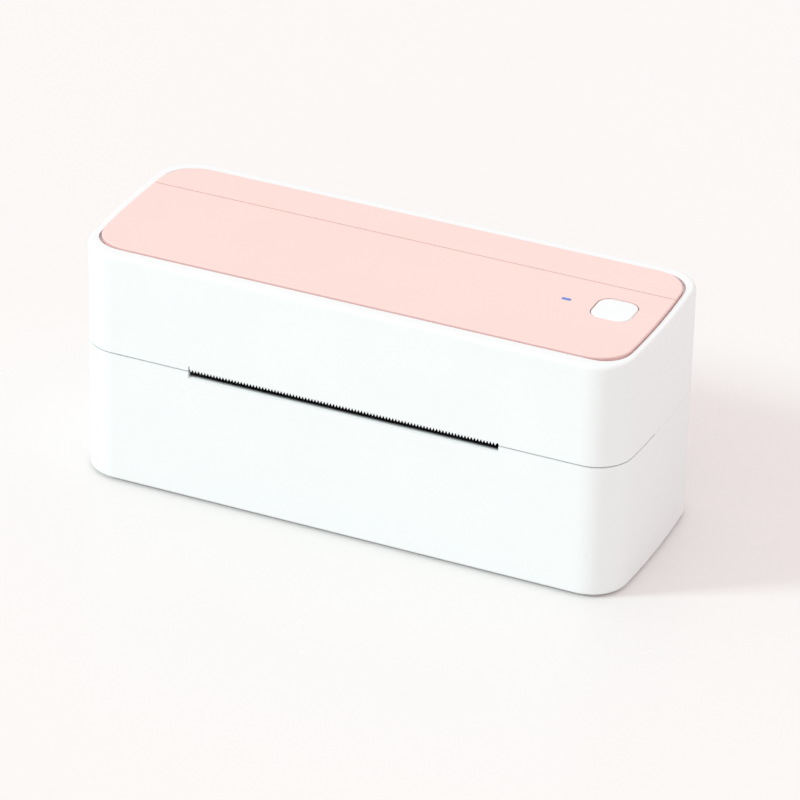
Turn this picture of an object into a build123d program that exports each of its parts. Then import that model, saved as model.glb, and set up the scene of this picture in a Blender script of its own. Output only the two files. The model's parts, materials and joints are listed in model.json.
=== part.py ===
from build123d import *
import math
import os

# Compact desktop printer for 4 inch shipping labels, in millimetres.
# Origin: on the table, under the middle of the body. +X right, -Y front, +Z up.

# Body
width = 201.0
depth = 76.0
height = 88.4
corner_radius = 13.5
end_bow = 1.9
wall = 2.5
floor_thickness = 2.5
floor_edge_radius = 0.8
foot_lift = 1.0
seam_z = 49.8
seam_gap = 0.1
shadow_gap = 0.5
shadow_run = 30.0

# Fits and cutter lengths
fit_gap = 0.3
slip_gap = 0.1
run_gap = 0.05
press_gap = 0.02
bite = 0.01
overcut = 1.0

# Top plate and rim
rim_front = 2.6
rim_side = 1.9
rim_edge_radius = 1.5
plate_gap = 0.5
plate_raise = 0.8
plate_thickness = 2.4
plate_corner_radius = 14.0
plate_edge_radius = 0.5
recess_corner_radius = 12.0
roof = 2.2
groove_from_rear = 21.2
groove_width = 0.45
groove_depth = 0.9

# Label exit and tear bar
exit_half = 57.0
exit_height = 1.2
lip_low = 2.45
lip_bevel_run = 0.7
lip_bevel_rise = 0.45
lip_slope_rise = 0.25
tooth_pitch = 1.14
tooth_height = 1.2
tear_thickness = 1.2
tear_height = 5.0
tear_skin = 0.25
tear_end_gap = 0.4
notch_width = 0.5
notch_rise = 1.0

# Rolled rear edge, hinge pins and knuckles
roll_radius = 3.0
roll_rise = 0.2
roll_gap = 0.4
hinge_pin_radius = 1.25
hinge_pin_inset = 14.5
hinge_pin_setback = 0.5
knuckle_width = 8.0
knuckle_shift = 6.25
knuckle_web = 6.0
inlet_height = 6.0
inlet_relief = 5.0

# Label deck
deck_thickness = 1.8
deck_setback = 9.5
deck_tongue_inset = 0.6
deck_tongue_radius = 1.2
deck_groove_depth = 0.5
deck_groove_width = 4.0
deck_groove_pitch = 9.0
deck_groove_pairs = 5
label_lift = 0.75
label_nip = 0.15

# Case screws and their bosses
boss_radius = 3.6
boss_inset_x = 14.5
boss_inset_y = 12.0
deck_boss_length = 6.8
screw_radius = 1.4
screw_head_radius = 2.7
screw_head_height = 1.6
screw_tip_gap = 1.0
pilot_tip_gap = 0.5
small_screw_radius = 1.0
small_head_radius = 2.2
small_head_height = 1.2
machine_screw_radius = 1.5
machine_head_radius = 2.6
machine_head_height = 1.4

# Label guides with rack and pinion
guide_inset = 7.0
guide_travel = 33.0
guide_front_gap = 3.5
guide_rear_gap = 9.0
guide_wall = 2.0
guide_wall_radius = 0.9
guide_flange = 7.0
guide_height = 4.0
guide_lift = 0.2
flange_thickness = 0.8
rack_module = 0.8
rack_teeth = 24
rack_depth = 3.2
rack_height = 3.6
rack_drop = 0.6
rack_lead = 2.5
neck_width = 3.0
neck_length = 3.4
neck_setback = 0.4
slot_margin = 1.0
pinion_teeth = 16
pinion_setback = 25.5
pinion_lift = 0.2
pinion_extra = 0.4
pinion_post_radius = 2.0
pinion_post_bore = 1.2
pinion_post_extra = 1.0
pinion_screw_head = 3.4
pinion_screw_head_height = 1.2
pinion_screw_length = 4.0

# Gap sensor halves
sensor_width = 7.8
sensor_length = 5.8
sensor_height = 5.0
sensor_setback = 6.0
sensor_shift = 3.0

# Platen, side plates and gear train
platen_setback = 13.0
platen_radius = 8.0
platen_half = 54.0
platen_chamfer = 0.6
shaft_radius = 3.0
shaft_chamfer = 0.4
shaft_end = 1.6
bush_radius = 5.0
bush_flange_radius = 6.4
bush_flange = 1.0
plate_clearance = 6.0
plate_sheet = 1.5
plate_setback = 4.0
plate_depth = 50.0
plate_top_gap = 0.2
plate_step_gap = 0.3
plate_label_gap = 1.0
plate_chamfer = 4.0
plate_foot = 8.0
plate_foot_setback = 3.0
plate_screw_inset = 4.4
plate_screw_front = 9.0
plate_screw_rear = 6.0
plate_screw_bite = 1.5
cable_hole_radius = 8.0
gear_module = 0.6
platen_teeth = 26
idler_small_teeth = 16
idler_large_teeth = 42
motor_teeth = 12
idler_angle = -60.0
gear_width = 3.8
large_gear_width = 3.5
gear_face_gap = 0.4
gear_step_gap = 0.4
idler_post_radius = 1.5
idler_cap_radius = 2.6
idler_cap = 1.0
gear_end_gap = 0.3

# Motor
motor_radius = 15.0
motor_length = 20.0
motor_chamfer = 0.8
motor_lift = 1.7
motor_flange = 1.0
motor_ear = 21.0
motor_ear_radius = 3.5
motor_ear_angle = 33.0
motor_shaft_radius = 1.0
motor_shaft_depth = 8.0
motor_shaft_end = 0.6
motor_boss_radius = 4.9
motor_boss_end = 0.4
motor_screw_length = 2.4

# Gear cover
hood_height = 3.4
hood_roof = 1.2
hood_wall = 1.4
hood_inner_wall = 0.8
hood_front_wall = 0.9
hood_front_gap = 1.0
hood_rear_gap = 1.5
hood_margin = 3.5
hood_radius = 1.0
hood_cut_side = 2.0

# Print head
head_gap = 0.35
ceramic_margin = 0.5
ceramic_depth = 11.0
ceramic_thickness = 1.05
sink_margin = 2.5
sink_depth = 19.0
sink_lead = 7.0
sink_ear = 2.2
sink_ear_inset = 2.0
sink_flange = 1.0
flange_gap = 0.1
fin_slot = 1.6
fin_pitch = 3.6
fin_depth = 2.5
fin_spring_gap = 0.5
head_board_step = 0.2
head_board_gap = 0.1
head_board_inset = 0.3
spring_x = 30.0
spring_lead = 1.0
spring_radius = 2.6
spring_wire = 0.8
spring_turns = 4
spring_height = 6.5
bracket_sheet = 1.5
bracket_depth = 16.0
bracket_foot = 8.0
bracket_screw_radius = 1.2
bracket_head_radius = 2.4
bracket_screw_inset = 3.0

# Lid frame, latch tabs and latch springs
frame_thickness = 1.8
window_gap_x = 0.6
window_gap_y = 0.8
lid_boss_radius = 3.2
lid_boss_inset_x = 16.5
lid_boss_inset_y = 16.0
lid_screw_length = 8.0
lid_pilot_extra = 2.0
tab_gap = 1.65
tab_thickness = 2.0
tab_width = 7.0
tab_drop = 9.0
tab_setback = 15.0
tab_slot_side = 0.15
tab_slot_outer = 1.25
tab_slot_front = 2.5
tab_slot_rear = 1.0
latch_thickness = 0.5
latch_reach = 1.55
latch_length = 14.3
latch_drop = 1.0
latch_foot = 4.0
latch_inset = 1.0

# Button, lamp and their board
button_inset = 19.9
button_y = 1.2
button_side = 14.2
button_corner = 4.5
button_gap = 0.3
button_edge_radius = 0.5
button_flange = 1.5
button_flange_height = 1.2
button_stem_radius = 2.0
plunger_radius = 1.7
plunger_rise = 1.5
plunger_top = 3.4
switch_side = 6.0
switch_height = 2.5
switch_floor = 0.5
lamp_offset = 17.2
lamp_length = 3.3
lamp_width = 1.3
lamp_gap = 0.1
lamp_flange = 0.9
lamp_flange_height = 1.0
lamp_foot_gap = 1.6
chip_length = 3.2
chip_width = 1.6
chip_height = 1.0
board_thickness = 1.6
board_drop = 8.2
board_half_depth = 6.0
board_left_reach = 28.0
board_right_reach = 15.5
board_post_left = 24.0
board_post_right = 12.0
post_radius = 2.6
post_pilot_depth = 5.0

# Main board on the floor
main_board_left = -34.0
main_board_right = 50.0
main_board_front_gap = 10.0
main_board_rear_gap = 8.0
main_board_lift = 4.5
main_post_inset = 4.0
main_post_rear = 14.0
main_screw_tip = 0.5
processor = (14.0, 14.0, 1.4)
processor_place = (0.0, -6.0)
driver_chip = (9.0, 6.0, 2.0)
driver_place = (22.0, -14.0)
coil_block = (8.0, 8.0, 3.2)
coil_place = (34.0, -2.0)
head_plug = (6.0, 16.0, 6.0)
head_plug_place = (-16.0, 6.0)
capacitor_radius = 3.2
capacitor_height = 9.0
capacitor_places = ((36.0, -20.0), (36.0, -9.5))

# Rear sockets and power switch
socket_setback = 0.6
usb_x = 30.0
usb_size = (12.0, 16.0, 10.8)
usb_mouth = (8.4, 9.0, 7.8)
usb_mouth_radius = 0.4
usb_tongue = (5.6, 8.0, 3.2)
socket_gap = 0.2
jack_x = 8.0
jack_size = (9.0, 14.0, 11.0)
jack_rise = 6.5
jack_bore = 3.2
jack_bore_depth = 9.5
jack_pin = 1.05
jack_pin_setback = 1.0
jack_shoulder = 0.4
rocker_inset = 30.5
rocker_z = 24.0
rocker_tilt = 8.0
rocker_hole = (19.2, 13.0)
rocker_bezel = (21.4, 15.2)
rocker_bezel_gap = 0.15
rocker_bezel_radius = 1.5
bezel_thickness = 1.5
bezel_margin = 2.0
bezel_backing = 1.5
rocker_body_depth = 14.0
rocker_well = 8.0
rocker_wall = 1.2
rocker_end_gap = 0.35
rocker_side_gap = 0.6
rocker_crown = 3.0
rocker_sink = 2.0
rocker_axle_radius = 2.2
rocker_axle_drop = 0.8
rocker_pivot = 4.9

# Rubber feet
foot_radius = 6.0
foot_inset_x = 30.5
foot_inset_y = 13.0
foot_pocket = 0.6

# Levels
body_top = height - plate_raise
recess_floor = height - plate_thickness
roof_under = recess_floor - roof
floor_top = foot_lift + floor_thickness
lid_bottom = seam_z + seam_gap
shadow_top = seam_z + shadow_gap
hinge_z = seam_z + roll_rise
rear_wall_top = hinge_z - roll_radius - roll_gap
tooth_tip_z = seam_z
tooth_root_z = tooth_tip_z + tooth_height
deck_top = tooth_tip_z - exit_height
deck_under = deck_top - deck_thickness
inlet_top = deck_top + inlet_height
frame_under = inlet_top
frame_top = frame_under + frame_thickness
label_z = deck_top + label_lift
platen_z = label_z + label_nip - platen_radius
rack_top = deck_under - rack_drop
pinion_post_end = rack_top - rack_height - pinion_post_extra
ceramic_low = platen_z + platen_radius + head_gap
ceramic_z = (ceramic_low, ceramic_low + ceramic_thickness)
sink_z = (ceramic_z[1], frame_top + flange_gap + sink_flange)
button_board_top = roof_under - board_drop
button_board_z = (button_board_top - board_thickness, button_board_top)
board_z = (floor_top + main_board_lift, floor_top + main_board_lift + board_thickness)
usb_z = board_z[1] + usb_size[2] / 2
jack_z = board_z[1] + jack_rise

# Places across the width
plate_x = platen_half + plate_clearance
plate_outer = plate_x + plate_sheet / 2
plate_inner = plate_x - plate_sheet / 2
inlet_half = plate_x
guide_open_x = plate_x - guide_inset
ceramic_half = platen_half + ceramic_margin
sink_half = ceramic_half + sink_margin
sink_flange_half = sink_half + sink_ear
bracket_half = sink_flange_half + fit_gap + bracket_sheet
bracket_screw_x = bracket_half + bracket_foot / 2
near_gear_outer = plate_outer + bush_flange + gear_face_gap
near_gear_x = (-near_gear_outer - gear_width, -near_gear_outer)
far_gear_x = (near_gear_x[0] - gear_step_gap - large_gear_width, near_gear_x[0] - gear_step_gap)
hinge_pin_end = width / 2 - hinge_pin_inset
knuckle_x = (inlet_half + width / 2) / 2 - knuckle_shift
boss_x = width / 2 - boss_inset_x
lid_boss_x = width / 2 - lid_boss_inset_x
foot_x = width / 2 - foot_inset_x
button_x = width / 2 - button_inset
lamp_x = button_x - lamp_offset
rocker_x = width / 2 - rocker_inset
post_x = (main_board_left + main_post_inset, main_board_right - main_post_inset)

# Places from front to rear
front = -depth / 2
rear = depth / 2
inner_front = front + wall
inner_rear = rear - wall
shadow_end_y = front + shadow_run
groove_y = rear - groove_from_rear
hinge_y = rear - roll_radius
platen_y = front + platen_setback
deck_front_y = platen_y + deck_setback
guide_front_y = deck_front_y + guide_front_gap
guide_rear_y = rear - guide_rear_gap
pinion_y = deck_front_y + pinion_setback
sensor_y = deck_front_y + sensor_setback
upper_sensor_y = sensor_y + sensor_shift
plate_front_y = front + plate_setback
plate_rear_y = plate_front_y + plate_depth
plate_screw_y = (plate_front_y + plate_screw_front, plate_rear_y - plate_screw_rear)
boss_y = rear - boss_inset_y
lid_boss_y = rear - lid_boss_inset_y
foot_y = rear - foot_inset_y
tab_y = plate_rear_y - tab_setback
head_front = platen_y - sink_lead
head_rear = head_front + sink_depth
head_middle = (head_front + head_rear) / 2
bracket_screw_y = (head_front + bracket_screw_inset, head_rear - bracket_screw_inset)
spring_y = platen_y + spring_lead
board_y = (front + main_board_front_gap, rear - main_board_rear_gap)
post_y = (board_y[0] + main_post_inset, board_y[1] - main_post_rear)
socket_face = rear - socket_setback


def block(x, y, z):
    """Box between two limits on each axis."""
    size = Box(x[1] - x[0], y[1] - y[0], z[1] - z[0])
    return Pos((x[0] + x[1]) / 2, (y[0] + y[1]) / 2, (z[0] + z[1]) / 2) * size


def around(middle, half):
    """Limits at a distance on both sides of a place."""
    return (middle - half, middle + half)


def outwards(side, near, far):
    """Limits between two distances from the middle, on the left (-1) or the right (1)."""
    return (near, far) if side > 0 else (-far, -near)


def rod_x(radius, x, y, z):
    """Round bar along X between two limits."""
    return Pos((x[0] + x[1]) / 2, y, z) * Rot(0, 90, 0) * Cylinder(radius, x[1] - x[0])


def rod_y(radius, x, y, z):
    """Round bar along Y between two limits."""
    return Pos(x, (y[0] + y[1]) / 2, z) * Rot(90, 0, 0) * Cylinder(radius, y[1] - y[0])


def rod_z(radius, x, y, z):
    """Round bar along Z between two limits."""
    return Pos(x, y, (z[0] + z[1]) / 2) * Cylinder(radius, z[1] - z[0])


def both(shape):
    """A shape and its mirror image on the other side of the middle."""
    return shape + mirror(shape, about=Plane.YZ)


def corners(x, y):
    """The four corner places at plus and minus x and y."""
    return [(sx * x, sy * y) for sx in (-1, 1) for sy in (-1, 1)]


def side_profile(points, x):
    """Shape with an outline in Y and Z, between two limits in X."""
    plane = Plane(origin=(x[0], 0, 0), x_dir=(0, 1, 0), z_dir=(1, 0, 0))
    return extrude(plane * make_face(Polyline(points, close=True)), amount=x[1] - x[0])


def front_profile(points, y):
    """Shape with an outline in X and Z, between two limits in Y."""
    plane = Plane(origin=(0, y[1], 0), x_dir=(1, 0, 0), z_dir=(0, -1, 0))
    return extrude(plane * make_face(Polyline(points, close=True)), amount=y[1] - y[0])


def outline(inset_x, inset_y, radius):
    """Plan of the body drawn in by an inset: straight long sides, gently bowed ends, round corners."""
    half_x = width / 2 - inset_x
    half_y = depth / 2 - inset_y
    side_x = half_x - end_bow
    edges = [
        Line((-side_x, -half_y), (side_x, -half_y)),
        ThreePointArc((side_x, -half_y), (half_x, 0), (side_x, half_y)),
        Line((side_x, half_y), (-side_x, half_y)),
        ThreePointArc((-side_x, half_y), (-half_x, 0), (-side_x, -half_y)),
    ]
    plan = make_face(Wire(edges))
    return fillet(plan.vertices(), radius)


def slab(plan, z):
    """A plan outline given height between two levels."""
    return extrude(Pos(0, 0, z[0]) * plan, amount=z[1] - z[0])


def body_slab(inset, z):
    """The body outline, drawn in evenly, between two levels."""
    return slab(outline(inset, inset, corner_radius - inset), z)


def screw(shank_radius, head_radius, place, head, tip):
    """Vertical screw: its head between two levels, its shank from the head to a tip level."""
    low = min(head[0], tip)
    high = max(head[1], tip)
    return rod_z(head_radius, *place, head) + rod_z(shank_radius, *place, (low, high))


def screw_group(shank_radius, head_radius, places, head, tip):
    """The same vertical screw at several places."""
    return Compound(children=[screw(shank_radius, head_radius, place, head, tip) for place in places])


def save(node, shape):
    """Write one node, keeping separate solids separate."""
    solids = shape.solids()
    whole = solids[0] if len(solids) == 1 else Compound(children=list(solids))
    export_step(whole, f"parts/{node}.step")


def gear_plan(teeth, module, tooth_angle):
    """Spur gear outline with one tooth pointing along tooth_angle in degrees."""
    pitch_radius = teeth * module / 2
    root = pitch_radius - 1.15 * module
    flank = pitch_radius + 0.1 * module
    tip = pitch_radius + 0.85 * module
    step = 2 * math.pi / teeth
    half_tooth = [(root, -0.31), (flank, -0.205), (tip, -0.1)]
    profile = half_tooth + [(radius, -share) for radius, share in reversed(half_tooth)]
    points = []
    for number in range(teeth):
        middle = math.radians(tooth_angle) + number * step
        for radius, share in profile:
            angle = middle + share * step
            points.append((radius * math.cos(angle), radius * math.sin(angle)))
    return make_face(Polyline(points, close=True))


def gear_x(teeth, tooth_angle, x, centre):
    """Spur gear on an axis along X, its angle measured from +Y towards +Z."""
    plan = gear_plan(teeth, gear_module, tooth_angle)
    plane = Plane(origin=(x[0], centre[0], centre[1]), x_dir=(0, 1, 0), z_dir=(1, 0, 0))
    return extrude(plane * plan, amount=x[1] - x[0])


def along(centre, distance, angle):
    """Point in the Y and Z plane at a distance and angle from a centre."""
    turn = math.radians(angle)
    return (centre[0] + distance * math.cos(turn), centre[1] + distance * math.sin(turn))


# Gear centres in Y and Z: the motor sits just over the floor
platen_centre = (platen_y, platen_z)
idler_distance = gear_module * (platen_teeth + idler_small_teeth) / 2
idler_centre = along(platen_centre, idler_distance, idler_angle)
motor_distance = gear_module * (idler_large_teeth + motor_teeth) / 2
motor_fall = floor_top + motor_radius + motor_lift - idler_centre[1]
motor_angle = math.degrees(math.asin(motor_fall / motor_distance))
motor_centre = along(idler_centre, motor_distance, motor_angle)
motor_ears = [along(motor_centre, reach, motor_ear_angle) for reach in (-motor_ear, motor_ear)]


def base_shell():
    """Lower case: tub with hinge knuckles, screw bosses, board posts, exit lip and socket holes."""
    shell = body_slab(0, (foot_lift, seam_z))
    shell = fillet(shell.edges().group_by(Axis.Z)[0], floor_edge_radius)
    shell -= body_slab(wall, (floor_top, seam_z + overcut))
    shell -= exit_lip()
    # Rear wall lowered behind the hinge line, with a trough for the lid's roll
    shell -= block((-width, width), (hinge_y, depth), (rear_wall_top, seam_z + overcut))
    shell -= rod_x(roll_radius + fit_gap, (-width, width), hinge_y, hinge_z)
    shell += both(hinge_knuckle())
    # Case screw bosses, counterbored from below
    for x, y in corners(boss_x, boss_y):
        shell += rod_z(boss_radius, x, y, (floor_top - bite, deck_under - deck_boss_length))
    for x, y in corners(boss_x, boss_y):
        shell -= rod_z(screw_radius + fit_gap, x, y, (0, seam_z))
        shell -= rod_z(screw_head_radius + fit_gap, x, y, (0, floor_top + screw_tip_gap))
    # Board posts, foot pockets and the side plates' screw holes
    for x in post_x:
        for y in post_y:
            shell += rod_z(post_radius, x, y, (floor_top - bite, board_z[0]))
            shell -= rod_z(small_screw_radius + run_gap, x, y, (floor_top, board_z[0] + overcut))
    for x, y in corners(foot_x, foot_y):
        shell -= rod_z(foot_radius + slip_gap, x, y, (0, foot_lift + foot_pocket))
    for x, y in plate_screw_places():
        shell -= rod_z(machine_screw_radius + press_gap, x, y, (floor_top - plate_screw_bite, seam_z))
    return shell + switch_backing() - rear_holes()


def exit_lip():
    """Cut over the exit lip: a small bevel at the front face, then a floor that rises gently inwards."""
    face_z = seam_z - lip_low
    bevel_z = face_z + lip_bevel_rise
    slope = lip_bevel_rise / lip_bevel_run
    points = [
        (front - overcut, seam_z + overcut),
        (front - overcut, face_z - overcut * slope),
        (front + lip_bevel_run, bevel_z),
        (inner_front + bite, bevel_z + lip_slope_rise),
        (inner_front + overcut, bevel_z + lip_slope_rise),
        (inner_front + overcut, seam_z + overcut),
    ]
    return side_profile(points, (-exit_half, exit_half))


def hinge_knuckle():
    """Right knuckle on the rear wall, bored for its pin."""
    x = around(knuckle_x, knuckle_width / 2)
    knuckle = rod_x(roll_radius, x, hinge_y, hinge_z)
    knuckle += block(x, (hinge_y - roll_radius, inner_rear + bite), (rear_wall_top - knuckle_web, hinge_z))
    return knuckle - rod_x(hinge_pin_radius + run_gap, (0, width), hinge_y, hinge_z)


def switch_backing():
    """Thicker wall behind the power switch's frame."""
    half_x = rocker_bezel[0] / 2 + rocker_bezel_gap + bezel_margin
    half_z = rocker_bezel[1] / 2 + rocker_bezel_gap + bezel_margin
    backing = (inner_rear - bezel_backing, inner_rear + bite)
    return block(around(rocker_x, half_x), backing, around(rocker_z, half_z))


def rear_holes():
    """Openings in the rear wall for the data socket, the power socket and the switch."""
    through = (inner_rear - overcut, rear + overcut)
    usb_half = usb_size[0] / 2 + socket_gap
    holes = block(around(usb_x, usb_half), through, around(usb_z, usb_size[2] / 2 + socket_gap))
    holes += rod_y(jack_size[0] / 2 + socket_gap, jack_x, through, jack_z)
    holes += block(
        around(rocker_x, rocker_bezel[0] / 2 + rocker_bezel_gap),
        (rear - bezel_thickness, rear + overcut),
        around(rocker_z, rocker_bezel[1] / 2 + rocker_bezel_gap),
    )
    holes += block(
        around(rocker_x, rocker_hole[0] / 2),
        (inner_rear - bezel_backing - overcut, rear + overcut),
        around(rocker_z, rocker_hole[1] / 2),
    )
    return holes


def top_cover():
    """Upper case: lid shell with the plate recess, rolled rear edge and raised exit edge."""
    shell = body_slab(0, (lid_bottom, body_top))
    shell = fillet(shell.edges().group_by(Axis.Z)[-1], rim_edge_radius)
    shell -= body_slab(wall, (lid_bottom - overcut, roof_under))
    shell -= slab(outline(rim_side, rim_front, recess_corner_radius), (recess_floor, height + overcut))
    # Shadow gap along the front and round the corners
    shell -= block((-width, width), (-depth, shadow_end_y), (lid_bottom - overcut, shadow_top))
    # Exit edge at the teeth's roots, with a short slit at its left end, and a rabbet for the tear bar
    front_wall = (-depth, inner_front + bite)
    shell -= block((-exit_half, exit_half), front_wall, (lid_bottom - overcut, tooth_root_z))
    slit_top = tooth_root_z + notch_rise
    shell -= block((-exit_half, notch_width - exit_half), front_wall, (lid_bottom - overcut, slit_top))
    rabbet = (front + tear_skin, inner_front + bite)
    shell -= block((-exit_half, exit_half), rabbet, (lid_bottom - overcut, tooth_root_z + tear_height))
    # Rolled rear edge round the hinge line, open at the inlet and at the knuckles
    roll = rod_x(roll_radius, (-width / 2, width / 2), hinge_y, hinge_z)
    shell += roll & body_slab(0, around(hinge_z, 2 * roll_radius))
    shell -= block((-inlet_half, inlet_half), (hinge_y - inlet_relief, depth), (0, inlet_top))
    knuckle_room = around(knuckle_x, knuckle_width / 2 + fit_gap)
    shell -= both(rod_x(roll_radius + fit_gap, knuckle_room, hinge_y, hinge_z))
    pin_room = (0, hinge_pin_end + hinge_pin_setback)
    shell -= both(rod_x(hinge_pin_radius + run_gap, pin_room, hinge_y, hinge_z))
    # Screw bosses for the lid frame
    for x, y in corners(lid_boss_x, lid_boss_y):
        boss = rod_z(lid_boss_radius, x, y, (frame_top, roof_under + bite))
        pilot_top = frame_top + lid_screw_length + lid_pilot_extra
        shell += boss - rod_z(screw_radius + run_gap, x, y, (0, pilot_top))
    # Button board posts, button hole and lamp hole
    for x, y in button_post_places():
        post = rod_z(post_radius, x, y, (button_board_z[1], roof_under + bite))
        pilot_top = button_board_z[1] + post_pilot_depth
        shell += post - rod_z(small_screw_radius + run_gap, x, y, (0, pilot_top))
    shell -= slab(button_plan(button_gap), (roof_under - overcut, height))
    shell -= slab(lamp_plan(lamp_gap), (roof_under - overcut, height))
    return shell


def button_plan(grow):
    """Rounded square of the feed button, grown by a gap."""
    side = button_side + 2 * grow
    return Pos(button_x, button_y) * RectangleRounded(side, side, button_corner + grow)


def lamp_plan(grow):
    """Oval of the status lamp, grown by a gap."""
    return Pos(lamp_x, button_y) * SlotOverall(lamp_length + 2 * grow, lamp_width + 2 * grow)


def button_post_places():
    """Screw places of the button board."""
    return [(button_x - board_post_left, button_y), (button_x + board_post_right, button_y)]


def top_plate():
    """Coloured cover plate with its groove and the button and lamp openings."""
    plan = outline(rim_side + plate_gap, rim_front + plate_gap, plate_corner_radius)
    plate = slab(plan, (recess_floor, height))
    plate = fillet(plate.edges().group_by(Axis.Z)[-1], plate_edge_radius)
    groove = around(groove_y, groove_width / 2)
    plate -= block((-width, width), groove, (height - groove_depth, height + overcut))
    plate -= slab(button_plan(button_gap), (recess_floor - overcut, height + overcut))
    plate -= slab(lamp_plan(lamp_gap), (recess_floor - overcut, height + overcut))
    return plate


def tear_bar():
    """White bar behind the exit edge, with a row of cutting teeth."""
    left = tear_end_gap - exit_half
    right = exit_half - tear_end_gap
    count = int((right - left) / tooth_pitch)
    points = [(left, tooth_root_z)]
    for number in range(count):
        points.append((left + (number + 0.5) * tooth_pitch, tooth_tip_z))
        points.append((left + (number + 1) * tooth_pitch, tooth_root_z))
    points.append((right, tooth_root_z))
    points.append((right, tooth_root_z + tear_height))
    points.append((left, tooth_root_z + tear_height))
    return front_profile(points, (front + tear_skin, front + tear_skin + tear_thickness))


def label_deck():
    """Mid frame that the label runs over, with slots for the guides and a post for their pinion."""
    deck = body_slab(wall + fit_gap, (deck_under, deck_top))
    rear_edge = hinge_y - roll_radius - fit_gap - guide_lift
    deck &= block((-width, width), (-depth, rear_edge), (0, height))
    tongue_half = inlet_half - fit_gap
    tongue = block((-tongue_half, tongue_half), (0, rear - deck_tongue_inset), (deck_under, deck_top))
    rear_top = tongue.edges().filter_by(Axis.X).group_by(Axis.Y)[-1].sort_by(Axis.Z)[-1]
    deck += fillet(rear_top, deck_tongue_radius)
    # Room for the roller, the bushes and the gears
    deck -= block((-plate_outer, plate_outer), (-depth, deck_front_y), (0, height))
    gear_room = (far_gear_x[0] - hood_cut_side, -plate_outer)
    deck -= block(gear_room, (plate_front_y - pilot_tip_gap, deck_front_y), (0, height))
    bush_room = (0, plate_outer + bush_flange + machine_screw_radius + overcut)
    deck -= rod_x(bush_flange_radius + fit_gap, bush_room, platen_y, platen_z)
    # Slots for the guides' necks, the sensor and the latch tabs
    for side in (-1, 1):
        near = guide_open_x - guide_travel - slot_margin
        far = guide_open_x + neck_length + slot_margin
        slot_y = around(rack_neck_y(side), neck_width / 2 + fit_gap)
        deck -= block(outwards(side, near, far), slot_y, (0, height))
    sensor_room = sensor_width / 2 + slip_gap
    deck -= block(around(0, sensor_room), around(sensor_y, sensor_length / 2 + slip_gap), (0, height))
    tab_x = (plate_outer + tab_gap - tab_slot_side, plate_outer + tab_gap + tab_thickness + tab_slot_outer)
    deck -= both(block(tab_x, (tab_y - tab_slot_front, tab_y + tab_width + tab_slot_rear), (0, height)))
    # Screw bosses and the pinion's post
    for x, y in corners(boss_x, boss_y):
        boss = rod_z(boss_radius, x, y, (deck_under - deck_boss_length, deck_under + bite))
        deck += boss - rod_z(screw_radius + run_gap, x, y, (0, deck_under - pilot_tip_gap))
    deck += rod_z(pinion_post_radius, 0, pinion_y, (pinion_post_end, deck_under + bite))
    deck -= rod_z(pinion_post_bore, 0, pinion_y, (0, deck_under))
    return deck - deck_grooves()


def deck_grooves():
    """Shallow grooves along the label path, which leave ribs between them."""
    grooves = []
    for number in range(deck_groove_pairs):
        x = around((number + 1) * deck_groove_pitch, deck_groove_width / 2)
        y = (guide_front_y, guide_rear_y)
        grooves.append(both(block(x, y, (deck_top - deck_groove_depth, deck_top + overcut))))
    return grooves


def rack_neck_y(side):
    """Y of the neck that joins a guide to its rack."""
    pitch_radius = rack_module * pinion_teeth / 2
    return pinion_y + side * (pitch_radius + 1.15 * rack_module + rack_depth / 2)


def label_guide(side):
    """Sliding edge guide with its rack under the deck. side is -1 for left and 1 for right."""
    bottom = deck_top + guide_lift
    y = (guide_front_y, guide_rear_y)
    wall_x = outwards(side, guide_open_x, guide_open_x + guide_wall)
    guide = block(wall_x, y, (bottom, deck_top + guide_height))
    guide = fillet(guide.edges().filter_by(Axis.Z), guide_wall_radius)
    flange_x = outwards(side, guide_open_x, guide_open_x + guide_flange)
    guide += block(flange_x, y, (bottom, bottom + flange_thickness))
    neck_end = guide_open_x + neck_length
    neck_x = outwards(side, guide_open_x + neck_setback, neck_end)
    neck_y = around(rack_neck_y(side), neck_width / 2)
    guide += block(neck_x, neck_y, (rack_top - overcut, bottom + bite))
    return guide + rack(side, side * neck_end)


def rack(side, outer_end):
    """Toothed bar whose teeth face the pinion, with a gap between teeth at the middle."""
    pitch = math.pi * rack_module
    pitch_y = pinion_y + side * rack_module * pinion_teeth / 2
    root_y = pitch_y + side * 1.15 * rack_module
    tip_y = pitch_y - side * 0.85 * rack_module
    back_y = root_y + side * rack_depth
    first = rack_lead * pitch
    inner_end = -side * (first + 0.4 * pitch)
    points = [(outer_end, back_y), (outer_end, root_y)]
    for number in reversed(range(rack_teeth)):
        middle = side * (number * pitch - first)
        points.append((middle + side * 0.31 * pitch, root_y))
        points.append((middle + side * 0.11 * pitch, tip_y))
        points.append((middle - side * 0.11 * pitch, tip_y))
        points.append((middle - side * 0.31 * pitch, root_y))
    points.append((inner_end, root_y))
    points.append((inner_end, back_y))
    plan = make_face(Polyline(points, close=True))
    return slab(plan, (rack_top - rack_height, rack_top))


def guide_pinion():
    """Gear between the two racks, which makes the guides move together."""
    top = rack_top + pinion_lift
    plan = Pos(0, pinion_y) * gear_plan(pinion_teeth, rack_module, 90)
    gear = slab(plan, (top - rack_height - pinion_extra, top))
    return gear - rod_z(pinion_post_radius + run_gap, 0, pinion_y, (0, height))


def pinion_screw():
    """Shouldered screw that holds the pinion on its post."""
    head = (pinion_post_end - pinion_screw_head_height, pinion_post_end)
    tip = pinion_post_end + pinion_screw_length
    return screw(pinion_post_bore - run_gap, pinion_screw_head, (0, pinion_y), head, tip)


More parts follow.
